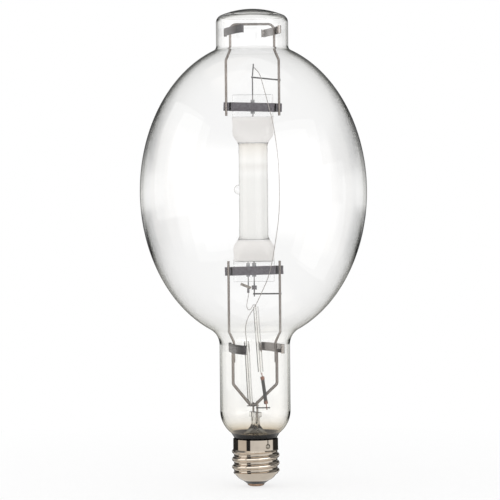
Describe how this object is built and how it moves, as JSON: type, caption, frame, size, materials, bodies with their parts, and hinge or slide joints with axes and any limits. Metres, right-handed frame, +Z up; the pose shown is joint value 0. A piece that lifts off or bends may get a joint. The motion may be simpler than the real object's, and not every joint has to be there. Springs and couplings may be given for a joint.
{
  "type": "metal halide lamp",
  "caption": "Large clear elliptical discharge lamp with a quartz arc tube on a wire frame and a screw base.",
  "frame": {"origin": "tip of the centre contact, on the lamp's axis", "axes": "+Z up the lamp's axis from the base to the crown, -Y toward the side seen in the picture, +X to its right"},
  "size_m": [0.1862, 0.1862, 0.391],
  "materials": {
    "bimetal": "rolled bimetal strip",
    "black_glass": "black moulded glass insulator",
    "cement": "dark basing cement",
    "clear_glass": "clear blown borosilicate glass, smooth",
    "copper_wire": "reddish copper-clad wire",
    "dark_strap_steel": "dark blued strip steel",
    "fine_wire": "fine nickel wire",
    "frame_steel": "nickel-plated steel rod",
    "lead_metal": "molybdenum lead",
    "nickel_plate": "nickel-plated brass, satin",
    "quartz": "fused quartz, milky in the body with white coated ends",
    "resistor_coat": "grey-brown ceramic coat",
    "sleeve_glass": "clear drawn glass",
    "solder": "dull tin solder",
    "solder_brass": "brass tipped with solder",
    "spring_steel": "dark spring strip",
    "stem_glass": "clear pressed glass",
    "switch_steel": "dark nickel steel",
    "tinned_wire": "tinned copper wire",
    "tungsten": "tungsten and molybdenum"
  },
  "bodies": {
    "lamp": {"arc_tube": "quartz", "base_cement": "cement", "base_insulator": "black_glass", "bimetal_clip": "switch_steel", "centre_contact": "solder_brass", "centre_lead_wire": "tinned_wire", "field_crosswire": "frame_steel", "field_wire": "fine_wire", "left_glass_sleeve": "sleeve_glass", "left_side_rod": "frame_steel", "left_stem_post": "frame_steel", "lower_crossbar": "frame_steel", "lower_electrode": "tungsten", "lower_main_foil": "tungsten", "lower_main_lead": "lead_metal", "lower_resistor_cap": "copper_wire", "lower_strap_back": "dark_strap_steel", "lower_strap_front": "dark_strap_steel", "neck_spring_left": "spring_steel", "neck_spring_right": "spring_steel", "nose_spring_left": "spring_steel", "nose_spring_right": "spring_steel", "outer_jacket": "clear_glass", "probe_ferrule": "switch_steel", "probe_foil": "tungsten", "probe_lead": "lead_metal", "probe_wire": "fine_wire", "resistor_body": "resistor_coat", "resistor_crossbar": "frame_steel", "right_glass_sleeve": "sleeve_glass", "right_side_rod": "frame_steel", "right_stem_post": "frame_steel", "screw_shell": "nickel_plate", "side_lead_wire": "tinned_wire", "side_solder": "solder", "starting_electrode": "tungsten", "stem_glass": "stem_glass", "upper_crossbar": "frame_steel", "upper_electrode": "tungsten", "upper_foil": "tungsten", "upper_hoop": "frame_steel", "upper_lead": "lead_metal", "upper_resistor_cap": "copper_wire", "upper_strap_back": "dark_strap_steel", "upper_strap_front": "dark_strap_steel", "wishbone_yoke": "frame_steel"},
    "blade": {"bimetal_blade": "bimetal"}
  },
  "joints": [
    {"name": "bimetal_bend", "type": "hinge", "parent": "lamp", "child": "blade", "pos_m": [-0.00263, -0.0015, 0.1623], "axis": [-0.3746, 0, -0.9272], "range_deg": [0, 12], "stiffness_Nm_per_rad": 0.002}
  ]
}
